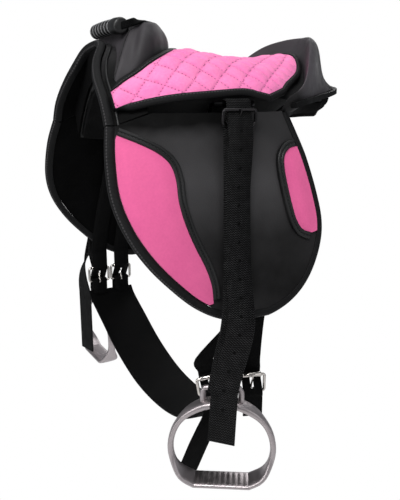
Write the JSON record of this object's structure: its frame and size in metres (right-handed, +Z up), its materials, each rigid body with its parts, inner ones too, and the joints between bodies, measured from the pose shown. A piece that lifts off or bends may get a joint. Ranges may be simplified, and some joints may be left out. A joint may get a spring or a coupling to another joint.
{
  "type": "pony saddle",
  "caption": "Pony saddle with quilted seat, grab handle, pommel and cantle, side flaps with knee panels, hanging stirrups on webbing straps and a buckled webbing girth.",
  "frame": {"origin": "The middle of the tree's flat underside in the gullet, where a saddle rack's beam carries the saddle.", "axes": "-X is the way the pony faces, +Z is up and -Y is the rider's left."},
  "size_m": [0.3678, 0.4695, 0.49],
  "materials": {
    "pink_quilt": "brushed suede cloth, quilted",
    "pink_suede": "brushed suede cloth",
    "black_leatherette": "semi-matte grained",
    "black_binding": "matte sewn binding",
    "black_webbing": "matte woven webbing",
    "black_rubber": "satin moulded",
    "plated_steel": "bright plated",
    "cast_aluminium": "polished casting",
    "seat_foam": "open-cell foam, hidden",
    "tree_shell": "moulded shell"
  },
  "bodies": {
    "saddle": {"tree": "tree_shell", "seat_foam": "seat_foam", "front_arch_core": "tree_shell", "pommel": "black_leatherette", "cantle": "black_leatherette", "cantle_welt": "black_binding", "seat_cover": "pink_quilt", "seat_binding": "black_binding", "front_arch": "black_leatherette", "front_arch_binding": "black_binding", "left_panel": "black_leatherette", "right_panel": "black_leatherette", "left_stirrup_bar": "plated_steel", "right_stirrup_bar": "plated_steel"},
    "handle": {"handle_grip": "black_rubber", "left_handle_web": "black_webbing", "right_handle_web": "black_webbing"},
    "left_flap_assembly": {"left_flap": "black_leatherette", "left_flap_binding": "black_binding", "left_knee_panel": "pink_suede", "left_knee_welt": "black_binding", "left_thigh_panel": "pink_suede", "left_thigh_welt": "black_binding"},
    "left_strap": {"left_stirrup_strap": "black_webbing", "left_stirrup_buckle": "plated_steel"},
    "left_strap_tongue": {"left_stirrup_tongue": "plated_steel"},
    "left_stirrup": {"left_iron": "cast_aluminium"},
    "right_flap_assembly": {"right_flap": "black_leatherette", "right_flap_binding": "black_binding", "right_knee_panel": "pink_suede", "right_knee_welt": "black_binding", "right_thigh_panel": "pink_suede", "right_thigh_welt": "black_binding"},
    "right_strap": {"right_stirrup_strap": "black_webbing", "right_stirrup_buckle": "plated_steel"},
    "right_strap_tongue": {"right_stirrup_tongue": "plated_steel"},
    "right_stirrup": {"right_iron": "cast_aluminium"},
    "girth": {"girth_band": "black_webbing", "left_front_billet": "black_webbing", "left_front_chape": "black_webbing", "left_front_buckle": "plated_steel", "left_rear_billet": "black_webbing", "left_rear_chape": "black_webbing", "left_rear_buckle": "plated_steel", "right_front_billet": "black_webbing", "right_front_chape": "black_webbing", "right_front_buckle": "plated_steel", "right_rear_billet": "black_webbing", "right_rear_chape": "black_webbing", "right_rear_buckle": "plated_steel"},
    "left_front_roller_body": {"left_front_roller": "plated_steel"},
    "left_front_tongue_body": {"left_front_tongue": "plated_steel"},
    "left_rear_roller_body": {"left_rear_roller": "plated_steel"},
    "left_rear_tongue_body": {"left_rear_tongue": "plated_steel"},
    "right_front_roller_body": {"right_front_roller": "plated_steel"},
    "right_front_tongue_body": {"right_front_tongue": "plated_steel"},
    "right_rear_roller_body": {"right_rear_roller": "plated_steel"},
    "right_rear_tongue_body": {"right_rear_tongue": "plated_steel"}
  },
  "joints": [
    {"name": "handle_lift", "type": "hinge", "parent": "saddle", "child": "handle", "pos_m": [-0.064, 0, 0.082], "axis": [0, 1, 0], "range_deg": [0, 35]},
    {"name": "left_flap_lift", "type": "hinge", "parent": "saddle", "child": "left_flap_assembly", "pos_m": [-0.013, -0.119, -0.003], "axis": [-1, 0, 0], "range_deg": [0, 40]},
    {"name": "left_strap_out", "type": "hinge", "parent": "left_flap_assembly", "child": "left_strap", "pos_m": [-0.013, -0.119, -0.003], "axis": [-1, 0, 0], "range_deg": [0, 50]},
    {"name": "left_strap_tongue_open", "type": "hinge", "parent": "left_strap", "child": "left_strap_tongue", "pos_m": [-0.01425, -0.12675, -0.02343], "axis": [1, 0, 0], "range_deg": [0, 8]},
    {"name": "left_stirrup_swing", "type": "hinge", "parent": "left_strap", "child": "left_stirrup", "pos_m": [-0.064, -0.183, -0.282], "axis": [0.848, -0.5299, 0], "range_deg": [-4, 8]},
    {"name": "right_flap_lift", "type": "hinge", "parent": "saddle", "child": "right_flap_assembly", "pos_m": [-0.013, 0.119, -0.003], "axis": [1, 0, 0], "range_deg": [0, 40]},
    {"name": "right_strap_out", "type": "hinge", "parent": "right_flap_assembly", "child": "right_strap", "pos_m": [-0.013, 0.119, -0.003], "axis": [1, 0, 0], "range_deg": [0, 50]},
    {"name": "right_strap_tongue_open", "type": "hinge", "parent": "right_strap", "child": "right_strap_tongue", "pos_m": [-0.01602, 0.127, -0.02345], "axis": [-1, 0, 0], "range_deg": [0, 8]},
    {"name": "right_stirrup_swing", "type": "hinge", "parent": "right_strap", "child": "right_stirrup", "pos_m": [-0.071, 0.19, -0.284], "axis": [0.0349, -0.9994, 0], "range_deg": [-2, 40]},
    {"name": "girth_swing", "type": "hinge", "parent": "saddle", "child": "girth", "pos_m": [-0.036, 0, -0.036], "axis": [0, 1, 0], "range_deg": [-3, 3]},
    {"name": "left_front_roller_turn", "type": "hinge", "parent": "girth", "child": "left_front_roller_body", "pos_m": [-0.0543, -0.13893, -0.2913], "axis": [0.9366, -0.3043, 0.1736], "continuous": true},
    {"name": "left_front_tongue_open", "type": "hinge", "parent": "girth", "child": "left_front_tongue_body", "pos_m": [-0.051, -0.14, -0.311], "axis": [0.9366, -0.3043, 0.1736], "range_deg": [0, 8]},
    {"name": "left_rear_roller_turn", "type": "hinge", "parent": "girth", "child": "left_rear_roller_body", "pos_m": [-0.009, -0.1535, -0.293], "axis": [0.9511, -0.309, 0], "continuous": true},
    {"name": "left_rear_tongue_open", "type": "hinge", "parent": "girth", "child": "left_rear_tongue_body", "pos_m": [-0.009, -0.1535, -0.313], "axis": [0.9511, -0.309, 0], "range_deg": [0, 8]},
    {"name": "right_front_roller_turn", "type": "hinge", "parent": "girth", "child": "right_front_roller_body", "pos_m": [-0.0805, 0.147, -0.237], "axis": [-1, 0, 0], "continuous": true},
    {"name": "right_front_tongue_open", "type": "hinge", "parent": "girth", "child": "right_front_tongue_body", "pos_m": [-0.0805, 0.147, -0.257], "axis": [-1, 0, 0], "range_deg": [0, 8]},
    {"name": "right_rear_roller_turn", "type": "hinge", "parent": "girth", "child": "right_rear_roller_body", "pos_m": [-0.0475, 0.147, -0.237], "axis": [-1, 0, 0], "continuous": true},
    {"name": "right_rear_tongue_open", "type": "hinge", "parent": "girth", "child": "right_rear_tongue_body", "pos_m": [-0.0475, 0.147, -0.257], "axis": [-1, 0, 0], "range_deg": [0, 8]}
  ]
}
